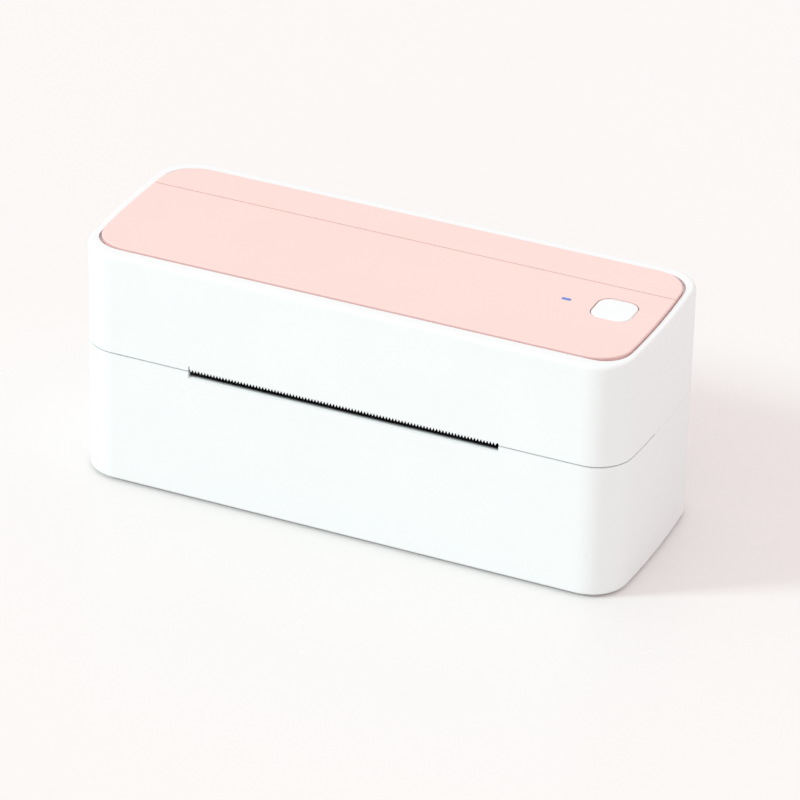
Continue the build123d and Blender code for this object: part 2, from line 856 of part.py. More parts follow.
def side_plate(side):
    """Steel side plate of the print chassis, bent in at its foot."""
    top = deck_under - plate_top_gap
    step_y = deck_front_y - plate_step_gap
    front_top = label_z - plate_label_gap
    points = [
        (plate_front_y, floor_top),
        (plate_rear_y, floor_top),
        (plate_rear_y, top),
        (step_y, top),
        (step_y, front_top),
        (plate_front_y + plate_chamfer, front_top),
        (plate_front_y, front_top - plate_chamfer),
    ]
    plate = side_profile(points, outwards(side, plate_inner, plate_outer))
    foot_x = outwards(side, plate_inner - plate_foot, plate_inner)
    foot_y = (plate_front_y + plate_foot_setback, plate_rear_y)
    plate += block(foot_x, foot_y, (floor_top, floor_top + plate_sheet))
    span = outwards(side, plate_inner - overcut, plate_outer + overcut)
    plate -= rod_x(bush_radius + press_gap, span, *platen_centre)
    if side < 0:
        plate -= rod_x(idler_post_radius + press_gap, span, *idler_centre)
        plate -= rod_x(motor_boss_radius + slip_gap, span, *motor_centre)
        for place in motor_ears:
            plate -= rod_x(machine_screw_radius + press_gap, span, *place)
    else:
        plate -= rod_x(cable_hole_radius, span, *motor_centre)
    for x, y in plate_screw_places():
        plate -= rod_z(machine_screw_radius + slip_gap, x, y, (0, board_z[1]))
    return plate


def plate_screw_places():
    """Screw places of the side plates' feet."""
    x = plate_inner - plate_screw_inset
    return [(side * x, y) for side in (-1, 1) for y in plate_screw_y]


def plate_screws():
    """Four screws through the side plates' feet into the floor."""
    top = floor_top + plate_sheet
    head = (top, top + machine_head_height)
    tip = floor_top - plate_screw_bite
    places = plate_screw_places()
    return screw_group(machine_screw_radius, machine_head_radius, places, head, tip)


def bush(side):
    """Flanged bearing bush of the platen shaft."""
    body = rod_x(bush_radius, outwards(side, plate_inner, plate_outer), *platen_centre)
    flange_x = outwards(side, plate_outer, plate_outer + bush_flange)
    body += rod_x(bush_flange_radius, flange_x, *platen_centre)
    return body - rod_x(shaft_radius + run_gap, (-width, width), *platen_centre)


def platen_roller():
    """Rubber sleeve that drives the label."""
    sleeve = rod_x(platen_radius, (-platen_half, platen_half), *platen_centre)
    sleeve = chamfer(sleeve.edges(), platen_chamfer)
    return sleeve - rod_x(shaft_radius + press_gap, (-width, width), *platen_centre)


def platen_shaft():
    """Steel shaft of the platen, from its gear to past the right bush."""
    shaft = rod_x(shaft_radius, (near_gear_x[0], plate_outer + bush_flange + shaft_end), *platen_centre)
    return chamfer(shaft.edges(), shaft_chamfer)


def platen_gear():
    """Gear on the left end of the platen shaft."""
    gear = gear_x(platen_teeth, idler_angle, near_gear_x, platen_centre)
    return gear - rod_x(shaft_radius + press_gap, (-width, width), *platen_centre)


def reduction_gear():
    """Two-step gear between the motor and the platen."""
    small_gap = idler_angle + 180 + 180 / idler_small_teeth
    small = gear_x(idler_small_teeth, small_gap, (far_gear_x[1] - bite, near_gear_x[1]), idler_centre)
    large = gear_x(idler_large_teeth, motor_angle, far_gear_x, idler_centre)
    return small + large - rod_x(idler_post_radius + run_gap, (-width, width), *idler_centre)


def idler_post():
    """Pin that the reduction gear turns on, with a retaining head."""
    cap_from = far_gear_x[0] - gear_end_gap
    post = rod_x(idler_post_radius, (cap_from, -plate_inner), *idler_centre)
    return post + rod_x(idler_cap_radius, (cap_from - idler_cap, cap_from + bite), *idler_centre)


def motor_pinion():
    """Small gear on the motor shaft."""
    gap = motor_angle + 180 + 180 / motor_teeth
    gear = gear_x(motor_teeth, gap, far_gear_x, motor_centre)
    return gear - rod_x(motor_shaft_radius + press_gap, (-width, width), *motor_centre)


def motor_shaft():
    """Shaft that turns in the motor."""
    return rod_x(
        motor_shaft_radius, (far_gear_x[0] - motor_shaft_end, motor_shaft_depth - plate_inner), *motor_centre
    )


def stepper_motor():
    """Round stepper motor with an eared flange and a bearing boss."""
    face = run_gap - plate_inner
    motor = rod_x(motor_radius, (face, face + motor_length), *motor_centre)
    motor = chamfer(motor.edges(), motor_chamfer)
    plane = Plane(origin=(face, *motor_centre), x_dir=(0, 1, 0), z_dir=(1, 0, 0))
    ears = Rot(0, 0, motor_ear_angle) * SlotCenterToCenter(2 * motor_ear, 2 * motor_ear_radius)
    flange = extrude(plane * ears, amount=motor_flange)
    for place in motor_ears:
        flange -= rod_x(machine_screw_radius + run_gap, around(face, motor_flange + overcut), *place)
    motor += flange
    motor += rod_x(motor_boss_radius, (face - plate_sheet - motor_boss_end, face + overcut), *motor_centre)
    bore = (-width, motor_shaft_depth + motor_boss_end - plate_inner)
    return motor - rod_x(motor_shaft_radius + run_gap, bore, *motor_centre)


def motor_screws():
    """Two screws through the left side plate that hold the motor."""
    screws = []
    for place in motor_ears:
        shank = rod_x(machine_screw_radius, (-plate_outer - bite, motor_screw_length - plate_inner), *place)
        head_x = (-plate_outer - machine_head_height, -plate_outer)
        screws.append(shank + rod_x(machine_head_radius, head_x, *place))
    return Compound(children=screws)


def gear_cover():
    """Hood over the gears where they stand above the deck."""
    x = (far_gear_x[0] - hood_margin, -plate_outer - slip_gap)
    y = (plate_front_y - hood_front_gap, deck_front_y + hood_rear_gap)
    hood = block(x, y, (deck_top, deck_top + hood_height))
    hood = fillet(hood.edges().filter_by(Axis.Z), hood_radius)
    inside_x = (x[0] + hood_wall, x[1] - hood_inner_wall)
    inside_y = (y[0] + hood_front_wall, y[1] - hood_wall)
    return hood - block(inside_x, inside_y, (deck_top - overcut, deck_top + hood_height - hood_roof))


def main_board():
    """Circuit board on four posts over the floor."""
    board = block((main_board_left, main_board_right), board_y, board_z)
    for x in post_x:
        for y in post_y:
            board -= rod_z(small_screw_radius + fit_gap, x, y, (0, seam_z))
    for size, place in (
        (processor, processor_place),
        (driver_chip, driver_place),
        (coil_block, coil_place),
        (head_plug, head_plug_place),
    ):
        level = (board_z[1] - bite, board_z[1] + size[2])
        board += block(around(place[0], size[0] / 2), around(place[1], size[1] / 2), level)
    for x, y in capacitor_places:
        board += rod_z(capacitor_radius, x, y, (board_z[1] - bite, board_z[1] + capacitor_height))
    return board


def board_screws():
    """Four screws of the main board."""
    head = (board_z[1], board_z[1] + small_head_height)
    tip = floor_top + main_screw_tip
    places = [(x, y) for x in post_x for y in post_y]
    return screw_group(small_screw_radius, small_head_radius, places, head, tip)


def usb_port():
    """Square data socket with a metal shell and a contact tongue."""
    level = (board_z[1], board_z[1] + usb_size[2])
    port = block(around(usb_x, usb_size[0] / 2), (socket_face - usb_size[1], socket_face), level)
    mouth = RectangleRounded(usb_mouth[0], usb_mouth[2], usb_mouth_radius)
    plane = Plane(origin=(usb_x, socket_face, usb_z), x_dir=(1, 0, 0), z_dir=(0, 1, 0))
    port -= extrude(plane * mouth, amount=-usb_mouth[1])
    bottom = socket_face - usb_mouth[1]
    tongue_y = (bottom - bite, bottom + usb_tongue[1])
    return port + block(around(usb_x, usb_tongue[0] / 2), tongue_y, around(usb_z, usb_tongue[2] / 2))


def dc_jack():
    """Round power socket with its centre pin."""
    body_y = (socket_face - jack_size[1], inner_rear - jack_shoulder)
    level = (board_z[1], board_z[1] + jack_size[2])
    body = block(around(jack_x, jack_size[0] / 2), body_y, level)
    body += rod_y(jack_size[0] / 2, jack_x, (body_y[1] - bite, socket_face), jack_z)
    bottom = socket_face - jack_bore_depth
    body -= rod_y(jack_bore, jack_x, (bottom, socket_face + overcut), jack_z)
    return body + rod_y(jack_pin, jack_x, (bottom - bite, socket_face - jack_pin_setback), jack_z)


def switch_frame():
    """Housing of the power switch, clipped into the rear wall."""
    half_x = rocker_hole[0] / 2 - slip_gap
    half_z = rocker_hole[1] / 2 - slip_gap
    bezel_x = around(rocker_x, rocker_bezel[0] / 2)
    frame = block(bezel_x, (rear - bezel_thickness, rear), around(rocker_z, rocker_bezel[1] / 2))
    frame = fillet(frame.edges().filter_by(Axis.Y), rocker_bezel_radius)
    body_y = (rear - rocker_body_depth, rear - bezel_thickness + bite)
    frame += block(around(rocker_x, half_x), body_y, around(rocker_z, half_z))
    well_x = around(rocker_x, half_x - rocker_wall)
    well_z = around(rocker_z, half_z - rocker_wall)
    return frame - block(well_x, (rear - rocker_well, rear + overcut), well_z)


def power_rocker():
    """Rocker with two faces at a blunt angle, resting with one side pressed in."""
    half = rocker_hole[0] / 2 - slip_gap - rocker_wall - rocker_end_gap
    length = rocker_hole[1] - 2 * (slip_gap + rocker_wall + rocker_side_gap)
    rise = half * math.tan(math.radians(rocker_tilt))
    points = [
        (-half, -rocker_sink),
        (half, -rocker_sink),
        (half, rocker_crown),
        (0, rocker_crown - rise),
        (-half, rocker_crown),
    ]
    rocker = slab(make_face(Polyline(points, close=True)), around(0, length / 2))
    rocker += Pos(0, -rocker_axle_drop, 0) * Cylinder(rocker_axle_radius, length)
    return Pos(rocker_x, rear - rocker_pivot, rocker_z) * Rot(0, 0, rocker_tilt) * rocker


def rubber_feet():
    """Four round pads in pockets under the floor."""
    pads = [rod_z(foot_radius, x, y, (0, foot_lift + foot_pocket)) for x, y in corners(foot_x, foot_y)]
    return Compound(children=pads)


def case_screws():
    """Four long screws from below that clamp the deck to the lower case."""
    head_top = floor_top + screw_tip_gap
    head = (head_top - screw_head_height, head_top)
    tip = deck_under - screw_tip_gap
    places = corners(boss_x, boss_y)
    return screw_group(screw_radius, screw_head_radius, places, head, tip)


def hinge_pins():
    """Two steel pins of the lid hinge."""
    pin = rod_x(hinge_pin_radius, (inlet_half + hinge_pin_setback, hinge_pin_end), hinge_y, hinge_z)
    return Compound(children=[pin, mirror(pin, about=Plane.YZ)])


def latch_springs():
    """Two bowed steel leaves on the side plates that hold the closed lid by its tabs."""
    high = deck_under - latch_drop
    low = high - latch_length
    middle = (low + high) / 2
    face = plate_outer
    points = [
        (face, low),
        (face + latch_thickness, low),
        (face + latch_thickness, low + latch_foot),
        (face + latch_reach, middle),
        (face + latch_thickness, high - latch_drop),
        (face, high - latch_drop),
        (face + latch_reach - latch_thickness, middle),
        (face, low + latch_foot + latch_thickness),
    ]
    leaf = front_profile(points, (tab_y + latch_inset, tab_y + tab_width - latch_inset))
    return Compound(children=[leaf, mirror(leaf, about=Plane.YZ)])


def gap_sensor():
    """Lower half of the label gap sensor, level with the deck."""
    y = around(sensor_y, sensor_length / 2)
    return block(around(0, sensor_width / 2), y, (deck_top - sensor_height, deck_top))


def upper_sensor():
    """Upper half of the label gap sensor, in the lid frame."""
    y = around(upper_sensor_y, sensor_length / 2)
    return block(around(0, sensor_width / 2), y, (frame_under, frame_under + sensor_height))


def lid_frame():
    """Panel that closes the lid from below, with the head window and two latch tabs."""
    frame = body_slab(wall + fit_gap, (frame_under, frame_top))
    window_y = (head_front - window_gap_y, head_rear + window_gap_y)
    frame -= block(around(0, sink_half + window_gap_x), window_y, (0, height))
    sensor_room = sensor_width / 2 + slip_gap
    frame -= block(around(0, sensor_room), around(upper_sensor_y, sensor_length / 2 + slip_gap), (0, height))
    for x, y in corners(lid_boss_x, lid_boss_y):
        frame -= rod_z(screw_radius + fit_gap, x, y, (0, height))
    for y in bracket_screw_y:
        frame -= both(rod_z(bracket_screw_radius + slip_gap, bracket_screw_x, y, (0, height)))
    tab_x = (plate_outer + tab_gap, plate_outer + tab_gap + tab_thickness)
    tab = block(tab_x, (tab_y, tab_y + tab_width), (frame_under - tab_drop, frame_under + bite))
    return frame + both(tab)


def ceramic_bar():
    """Heater bar of the print head, over the platen."""
    return block(around(0, ceramic_half), around(platen_y, ceramic_depth / 2), ceramic_z)


def head_board():
    """Driver strip behind the heater bar."""
    y = (platen_y + ceramic_depth / 2 + head_board_gap, head_rear - head_board_inset)
    return block(around(0, ceramic_half), y, (ceramic_z[0] + head_board_step, ceramic_z[1]))


def heat_sink():
    """Aluminium bar that carries the heater, slotted along its top and flanged at its ends."""
    sink = block(around(0, sink_half), (head_front, head_rear), sink_z)
    ear_y = (head_front + sink_ear_inset, head_rear - sink_ear_inset)
    sink += block(around(0, sink_flange_half), ear_y, (sink_z[1] - sink_flange, sink_z[1]))
    count = int(sink_depth / fin_pitch)
    for number in range(count):
        y = head_middle + (number - (count - 1) / 2) * fin_pitch
        if abs(y - spring_y) > spring_radius + fin_spring_gap:
            slot_z = (sink_z[1] - fin_depth, sink_z[1] + overcut)
            sink -= block((-width, width), around(y, fin_slot / 2), slot_z)
    return sink


def head_springs():
    """Two coil springs between the bracket and the heat sink."""
    rise = spring_height - spring_wire
    path = Helix(pitch=rise / spring_turns, height=rise, radius=spring_radius - spring_wire / 2)
    section = Plane(origin=path @ 0, x_dir=(1, 0, 0), z_dir=path % 0) * Rectangle(spring_wire, spring_wire)
    coil = sweep(section, path=path, is_frenet=True)
    base = sink_z[1] + spring_wire / 2
    return Compound(children=[Pos(x, spring_y, base) * coil for x in (-spring_x, spring_x)])


def head_bracket():
    """Steel bridge over the print head that the springs push against."""
    top = sink_z[1] + spring_height
    inner = bracket_half - bracket_sheet
    foot_end = bracket_half + bracket_foot
    points = [
        (-foot_end, frame_top),
        (-inner, frame_top),
        (-inner, top),
        (inner, top),
        (inner, frame_top),
        (foot_end, frame_top),
        (foot_end, frame_top + bracket_sheet),
        (bracket_half, frame_top + bracket_sheet),
        (bracket_half, top + bracket_sheet),
        (-bracket_half, top + bracket_sheet),
        (-bracket_half, frame_top + bracket_sheet),
        (-foot_end, frame_top + bracket_sheet),
    ]
    bracket = front_profile(points, around(head_middle, bracket_depth / 2))
    for y in bracket_screw_y:
        hole = rod_z(bracket_screw_radius + slip_gap, bracket_screw_x, y, (0, frame_top + 2 * bracket_sheet))
        bracket -= both(hole)
    return bracket


def bracket_screws():
    """Four screws that hold the bracket on the lid frame."""
    top = frame_top + bracket_sheet
    head = (top, top + small_head_height)
    places = [(side * bracket_screw_x, y) for side in (-1, 1) for y in bracket_screw_y]
    return screw_group(bracket_screw_radius, bracket_head_radius, places, head, frame_under)


def lid_screws():
    """Four screws that hold the lid frame in the top cover."""
    head = (frame_under - screw_head_height, frame_under)
    tip = frame_top + lid_screw_length
    places = corners(lid_boss_x, lid_boss_y)
    return screw_group(screw_radius, screw_head_radius, places, head, tip)


def feed_button():
    """Square button cap with a retaining flange and a stem."""
    flange_top = roof_under - run_gap
    flange_low = flange_top - button_flange_height
    cap = slab(button_plan(0), (flange_top - bite, height))
    cap = fillet(cap.edges().group_by(Axis.Z)[-1], button_edge_radius)
    cap += slab(button_plan(button_flange), (flange_low, flange_top))
    stem_low = button_board_z[1] + plunger_top
    return cap + rod_z(button_stem_radius, button_x, button_y, (stem_low, flange_low + bite))


def switch_plunger():
    """Plunger of the push switch, which travels with the button."""
    low = button_board_z[1]
    return rod_z(plunger_radius, button_x, button_y, (low + plunger_rise, low + plunger_top))


def button_switch():
    """Push switch on the small board."""
    low = button_board_z[1]
    half = switch_side / 2
    body = block(around(button_x, half), around(button_y, half), (low, low + switch_height))
    well = (low + switch_floor, low + switch_height + overcut)
    return body - rod_z(plunger_radius + run_gap, button_x, button_y, well)


def button_board():
    """Small board under the button and lamp."""
    x = (button_x - board_left_reach, button_x + board_right_reach)
    board = block(x, around(button_y, board_half_depth), button_board_z)
    for place in button_post_places():
        board -= rod_z(small_screw_radius + fit_gap, *place, (0, height))
    return board


def button_board_screws():
    """Two screws of the small board."""
    low = button_board_z[0]
    head = (low - small_head_height, low)
    tip = low + post_pilot_depth
    places = button_post_places()
    return screw_group(small_screw_radius, small_head_radius, places, head, tip)


def lamp_lens():
    """Clear light guide of the status lamp."""
    lens = slab(lamp_plan(0), (button_board_z[1] + lamp_foot_gap, height))
    return lens + slab(lamp_plan(lamp_flange), (roof_under - lamp_flange_height, roof_under))


def lamp_chip():
    """Light source on the small board."""
    low = button_board_z[1]
    return block(around(lamp_x, chip_length / 2), around(button_y, chip_width / 2), (low, low + chip_height))


os.makedirs("parts", exist_ok=True)
save("base_shell", base_shell())
save("rubber_feet", rubber_feet())
save("case_screws", case_screws())
save("label_deck", label_deck())
save("left_side_plate", side_plate(-1))
save("right_side_plate", side_plate(1))
save("plate_screws", plate_screws())
save("left_platen_bush", bush(-1))
save("right_platen_bush", bush(1))
save("stepper_motor", stepper_motor())
save("motor_screws", motor_screws())
save("idler_post", idler_post())
save("gear_cover", gear_cover())
save("gap_sensor", gap_sensor())
save("pinion_screw", pinion_screw())
save("main_board", main_board())
save("board_screws", board_screws())
save("usb_port", usb_port())
save("dc_jack", dc_jack())
save("switch_frame", switch_frame())
save("hinge_pins", hinge_pins())
save("latch_springs", latch_springs())
save("platen_roller", platen_roller())
save("platen_shaft", platen_shaft())
save("platen_gear", platen_gear())
save("reduction_gear", reduction_gear())
save("motor_pinion", motor_pinion())
save("motor_shaft", motor_shaft())
save("left_label_guide", label_guide(-1))
save("right_label_guide", label_guide(1))
save("guide_pinion", guide_pinion())
save("power_rocker", power_rocker())
save("top_cover", top_cover())
save("top_plate", top_plate())
save("tear_bar", tear_bar())
save("lid_frame", lid_frame())
save("lid_screws", lid_screws())
save("upper_sensor", upper_sensor())
save("head_bracket", head_bracket())
save("bracket_screws", bracket_screws())
save("head_springs", head_springs())
save("heat_sink", heat_sink())
save("ceramic_bar", ceramic_bar())
save("head_board", head_board())
save("button_board", button_board())
save("button_board_screws", button_board_screws())
save("button_switch", button_switch())
save("lamp_lens", lamp_lens())
save("lamp_chip", lamp_chip())
save("feed_button", feed_button())
save("switch_plunger", switch_plunger())
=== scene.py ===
import json
import math

import bpy
from mathutils import Matrix, Vector


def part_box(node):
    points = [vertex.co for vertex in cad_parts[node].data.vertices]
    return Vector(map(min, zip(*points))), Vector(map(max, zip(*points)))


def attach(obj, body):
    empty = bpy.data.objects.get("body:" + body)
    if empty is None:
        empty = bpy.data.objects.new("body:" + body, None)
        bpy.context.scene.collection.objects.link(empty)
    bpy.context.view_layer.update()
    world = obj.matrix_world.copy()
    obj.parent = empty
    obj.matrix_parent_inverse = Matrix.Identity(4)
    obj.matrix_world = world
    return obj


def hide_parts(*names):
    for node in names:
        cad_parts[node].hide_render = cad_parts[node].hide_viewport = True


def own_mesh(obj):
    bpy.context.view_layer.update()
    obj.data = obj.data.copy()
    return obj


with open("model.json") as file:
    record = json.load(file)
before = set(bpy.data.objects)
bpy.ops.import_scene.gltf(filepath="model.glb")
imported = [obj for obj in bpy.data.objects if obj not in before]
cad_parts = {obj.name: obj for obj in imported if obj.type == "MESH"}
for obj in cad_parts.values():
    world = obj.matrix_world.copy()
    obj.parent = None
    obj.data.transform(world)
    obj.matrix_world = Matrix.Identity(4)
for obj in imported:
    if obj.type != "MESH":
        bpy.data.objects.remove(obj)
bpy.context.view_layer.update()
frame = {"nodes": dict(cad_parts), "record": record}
NODES = frame["nodes"]

# Camera: a long lens from the front right, a little rolled, in metres and degrees
CAMERA_TURN = 23.6
CAMERA_RISE = 29.31
CAMERA_ROLL = 1.36
CAMERA_TARGET = (0.00464, 0.0, 0.03524)
CAMERA_DISTANCE = 1.6954
CAMERA_FOCAL_PX = 4976.8
CAMERA_NEAR = 0.05
PHOTO_SIDE_PX = 800.0
SENSOR_MM = 36.0

# Light: an even surround and a low sun from the front left, its size in degrees
WORLD_COLOUR = (1.0, 0.935, 0.93)
WORLD_STRENGTH = 0.94
SUN_COLOUR = (0.74, 1.0, 1.0)
SUN_FROM = (-1.6, -1.0, 1.0)
SUN_STRENGTH = 1.30
SUN_SIZE = 11.0
FLOOR_SIDE = 8.0

# Colours of the surfaces that the photograph shows, linear
WHITE_LOW = (0.895, 0.920, 0.922)
WHITE_HIGH = (0.905, 0.930, 0.932)
PINK_LOW = (0.918, 0.690, 0.645)
PINK_HIGH = (0.928, 0.700, 0.655)
# Painted shade for the plate's edge, side and groove
PINK_PAINTED_SHADE = (0.860, 0.555, 0.540)
FLOOR_LOW = (0.900, 0.880, 0.870)
FLOOR_HIGH = (0.907, 0.887, 0.877)
# Painted shade laid on the floor of the label slot
SLOT_PAINTED_SHADE = (0.010, 0.009, 0.011)
LAMP_RIM = (0.04, 0.13, 0.55)
LAMP_MIDDLE = (0.10, 0.22, 0.70)
LAMP_RUN = (0.0, 0.9)
LAMP_GLOW = 0.10
LAMP_SPREAD = (420.0, 900.0, 0.0)
BOARD_DARK = (0.012, 0.12, 0.05)
BOARD_LIGHT = (0.015, 0.14, 0.06)
BOARD_LINE = (0.05, 0.24, 0.09)

# Share of a noise at which its tones begin and end, and the same for a number spread by it
TONE_RUN = (0.35, 0.65)
NUMBER_RUN = (0.3, 0.7)

# Noise scales, in features to the metre: slow tone drift, uneven gloss, and the grain or lines of the relief
PLASTIC_TONE = 28.0
PLASTIC_GLOSS = 900.0
FINE_GRAIN = 2600.0
COARSE_GRAIN = 1900.0
METAL_TONE = 60.0
METAL_LINES = 600.0
RUBBER_TONE = 120.0
RUBBER_GLOSS = 1500.0
RUBBER_GRAIN = 3200.0
BOARD_LINES = 260.0
BOARD_LINE_WIDTH = 0.05
BOARD_GLOSS = 700.0
LAMP_GLOSS = 800.0
FLOOR_TONE = 3.0
FLOOR_GLOSS = 40.0

# Detail of the noises, from soft to sharp
DETAIL_GRAIN = 2.0
DETAIL_PLAIN = 3.0
DETAIL_GLOSS = 4.0
DETAIL_LINES = 6.0

# Depth of the relief in metres, and how strongly it shows
FINE_RELIEF = 0.00002
COARSE_RELIEF = 0.00004
LINE_RELIEF = 0.00001
BOARD_RELIEF = 0.00003
PLASTIC_SHOWS = 0.25
METAL_SHOWS = 0.2
RUBBER_SHOWS = 0.35
BOARD_SHOWS = 0.3

# Specular level of the plastics, the rubbers and the floor
PLASTIC_SPECULAR = 0.4
RUBBER_SPECULAR = 0.3
FLOOR_SPECULAR = 0.35

# Roughness, from its lowest to its highest
SHELL_ROUGH = (0.36, 0.46)
PLATE_ROUGH = (0.40, 0.50)
BOARD_ROUGH = (0.25, 0.38)
LAMP_ROUGH = (0.12, 0.2)
FLOOR_ROUGH = (0.22, 0.28)

# Metal drawn or rolled along x or y, or with no direction
ALONG_X = (0.02, 1.0, 1.0)
ROLLED_X = (0.03, 1.0, 1.0)
ROLLED_Y = (1.0, 0.03, 1.0)
PRESSED_Y = (1.0, 0.05, 1.0)
EVEN = (1.0, 1.0, 1.0)

# Slots of moulded plastic, rubber and metal: low and high tone, roughness, and what else sets them apart
PLASTICS = {
    "white_shell": dict(low=WHITE_LOW, high=WHITE_HIGH, rough=SHELL_ROUGH),
    "white_button": dict(low=(0.88, 0.91, 0.92), high=(0.91, 0.935, 0.94), rough=(0.22, 0.3), shows=0.1),
    "grey_plastic": dict(
        low=(0.36, 0.37, 0.38), high=(0.42, 0.43, 0.44), rough=(0.45, 0.6),
        grain=COARSE_GRAIN, relief=COARSE_RELIEF, shows=0.4,
    ),
    "dark_plastic": dict(
        low=(0.012, 0.012, 0.014), high=(0.022, 0.022, 0.025), rough=(0.35, 0.5), grain=COARSE_GRAIN,
    ),
    "gear_plastic": dict(low=(0.70, 0.68, 0.60), high=(0.78, 0.76, 0.68), rough=(0.3, 0.42)),
    "bush_plastic": dict(low=(0.02, 0.02, 0.022), high=(0.035, 0.035, 0.038), rough=(0.4, 0.55)),
    "black_plastic": dict(low=(0.010, 0.010, 0.011), high=(0.018, 0.018, 0.02), rough=(0.3, 0.45)),
    "sensor_plastic": dict(low=(0.012, 0.004, 0.004), high=(0.02, 0.008, 0.008), rough=(0.1, 0.18)),
    "ceramic_white": dict(low=(0.80, 0.79, 0.74), high=(0.86, 0.85, 0.81), rough=(0.12, 0.2), shows=0.08),
}
RUBBERS = {
    "foot_rubber": dict(low=(0.012, 0.012, 0.012), high=(0.022, 0.022, 0.022), rough=(0.7, 0.85)),
    "platen_rubber": dict(low=(0.014, 0.014, 0.015), high=(0.024, 0.024, 0.026), rough=(0.55, 0.7)),
}
METALS = {
    "steel": dict(low=(0.52, 0.53, 0.55), high=(0.62, 0.63, 0.65), rough=(0.2, 0.35), stretch=ALONG_X),
    "screw_steel": dict(low=(0.48, 0.48, 0.50), high=(0.58, 0.58, 0.60), rough=(0.25, 0.4), stretch=EVEN),
    "plate_steel": dict(low=(0.50, 0.51, 0.53), high=(0.62, 0.63, 0.64), rough=(0.3, 0.45), stretch=ROLLED_Y),
    "motor_steel": dict(low=(0.36, 0.37, 0.38), high=(0.45, 0.46, 0.47), rough=(0.25, 0.4), stretch=ROLLED_X),
    "socket_metal": dict(
        low=(0.56, 0.56, 0.57), high=(0.66, 0.66, 0.67), rough=(0.2, 0.32), stretch=PRESSED_Y,
    ),
    "brass": dict(low=(0.56, 0.38, 0.12), high=(0.68, 0.48, 0.18), rough=(0.22, 0.36), stretch=ROLLED_X),
    "aluminium": dict(low=(0.62, 0.63, 0.64), high=(0.72, 0.73, 0.74), rough=(0.3, 0.42), stretch=ROLLED_X),
}

# Painted shade on the floor of the label slot on the base shell, in metres: its crest, back, lowest and highest
# level and half width, how soft its outline is, and how far behind the crest the painted shade is full
SLOT_CREST_Y = -0.0373
SLOT_BACK_Y = -0.0330
SLOT_FLOOR_Z = 0.0476
SLOT_ROOF_Z = 0.0520
SLOT_HALF = 0.0574
SLOT_EDGE = 0.00012
SLOT_FADE = 0.0012

# Rim and plate, in metres: the solid's recess and its floor, how much wider the photograph shows the rim at the
# ends and at the front and rear, the part of the plate that isn't stretched, how far its button, lamp and
# groove move, its top, and the height below that at which its painted shade is strongest
RECESS_HALF = (0.0986, 0.0354)
RECESS_FLOOR = 0.0860
RIM_WIDER = (0.0010, 0.0020)
PLATE_KEPT = (0.0881, 0.0209)
PLATE_SHIFT = (0.0005, -0.0011)
PLATE_TOP = 0.0884
PLATE_SHADE_DEPTH = 0.0007

# A face counts as upright below this part of a unit normal, and points match to this many decimals of a metre
WALL_TILT = 0.2
WALL_DIGITS = 6

# CAD node, the piece that stands for it, and the body that it rides on
RESHAPED = (
    ("top_cover", "rimmed_cover", "lid"),
    ("top_plate", "inset_plate", "lid"),
    ("lamp_lens", "lamp_window", "lid"),
    ("feed_button", "feed_button_cap", "button"),
)


def material(name):
    """New node material, its node tree and its shader."""
    mat = bpy.data.materials.new(name)
    mat.use_nodes = True
    tree = mat.node_tree
    shader = tree.nodes["Principled BSDF"]
    return mat, tree, shader


def noise(tree, scale, detail=DETAIL_PLAIN, stretch=EVEN):
    """Noise in object space, where a unit is a metre."""
    coords = tree.nodes.new("ShaderNodeTexCoord")
    mapping = tree.nodes.new("ShaderNodeMapping")
    mapping.inputs["Scale"].default_value = stretch
    texture = tree.nodes.new("ShaderNodeTexNoise")
    texture.inputs["Scale"].default_value = scale
    texture.inputs["Detail"].default_value = detail
    tree.links.new(coords.outputs["Object"], mapping.inputs["Vector"])
    tree.links.new(mapping.outputs["Vector"], texture.inputs["Vector"])
    return texture.outputs["Fac"]


def tones(tree, value, low, high, run=TONE_RUN):
    """Colour that runs between two close tones with a value."""
    ramp = tree.nodes.new("ShaderNodeValToRGB")
    ramp.color_ramp.elements[0].position = run[0]
    ramp.color_ramp.elements[1].position = run[1]
    ramp.color_ramp.elements[0].color = (*low, 1.0)
    ramp.color_ramp.elements[1].color = (*high, 1.0)
    tree.links.new(value, ramp.inputs["Fac"])
    return ramp.outputs["Color"]


def spread(tree, value, limits):
    """Number that runs between two limits with a value."""
    node = tree.nodes.new("ShaderNodeMapRange")
    node.inputs["From Min"].default_value = NUMBER_RUN[0]
    node.inputs["From Max"].default_value = NUMBER_RUN[1]
    node.inputs["To Min"].default_value = limits[0]
    node.inputs["To Max"].default_value = limits[1]
    tree.links.new(value, node.inputs["Value"])
    return node.outputs["Result"]


def bump(tree, shader, height, strength, distance):
    """Fine relief on the shader's normal."""
    node = tree.nodes.new("ShaderNodeBump")
    node.inputs["Strength"].default_value = strength
    node.inputs["Distance"].default_value = distance
    tree.links.new(height, node.inputs["Height"])
    tree.links.new(node.outputs["Normal"], shader.inputs["Normal"])


def coat(tree, shader, tone, gloss, low, high, rough):
    """Base colour from one noise and roughness from another."""
    tree.links.new(tones(tree, tone, low, high), shader.inputs["Base Color"])
    tree.links.new(spread(tree, gloss, rough), shader.inputs["Roughness"])


def plastic(name, low, high, rough, grain=FINE_GRAIN, relief=FINE_RELIEF, shows=PLASTIC_SHOWS):
    """Moulded plastic: spark-eroded grain, slow tone drift and uneven gloss."""
    mat, tree, shader = material(name)
    tone = noise(tree, PLASTIC_TONE)
    gloss = noise(tree, PLASTIC_GLOSS, DETAIL_GLOSS)
    coat(tree, shader, tone, gloss, low, high, rough)
    bump(tree, shader, noise(tree, grain, DETAIL_GRAIN), shows, relief)
    shader.inputs["Specular IOR Level"].default_value = PLASTIC_SPECULAR
    return mat


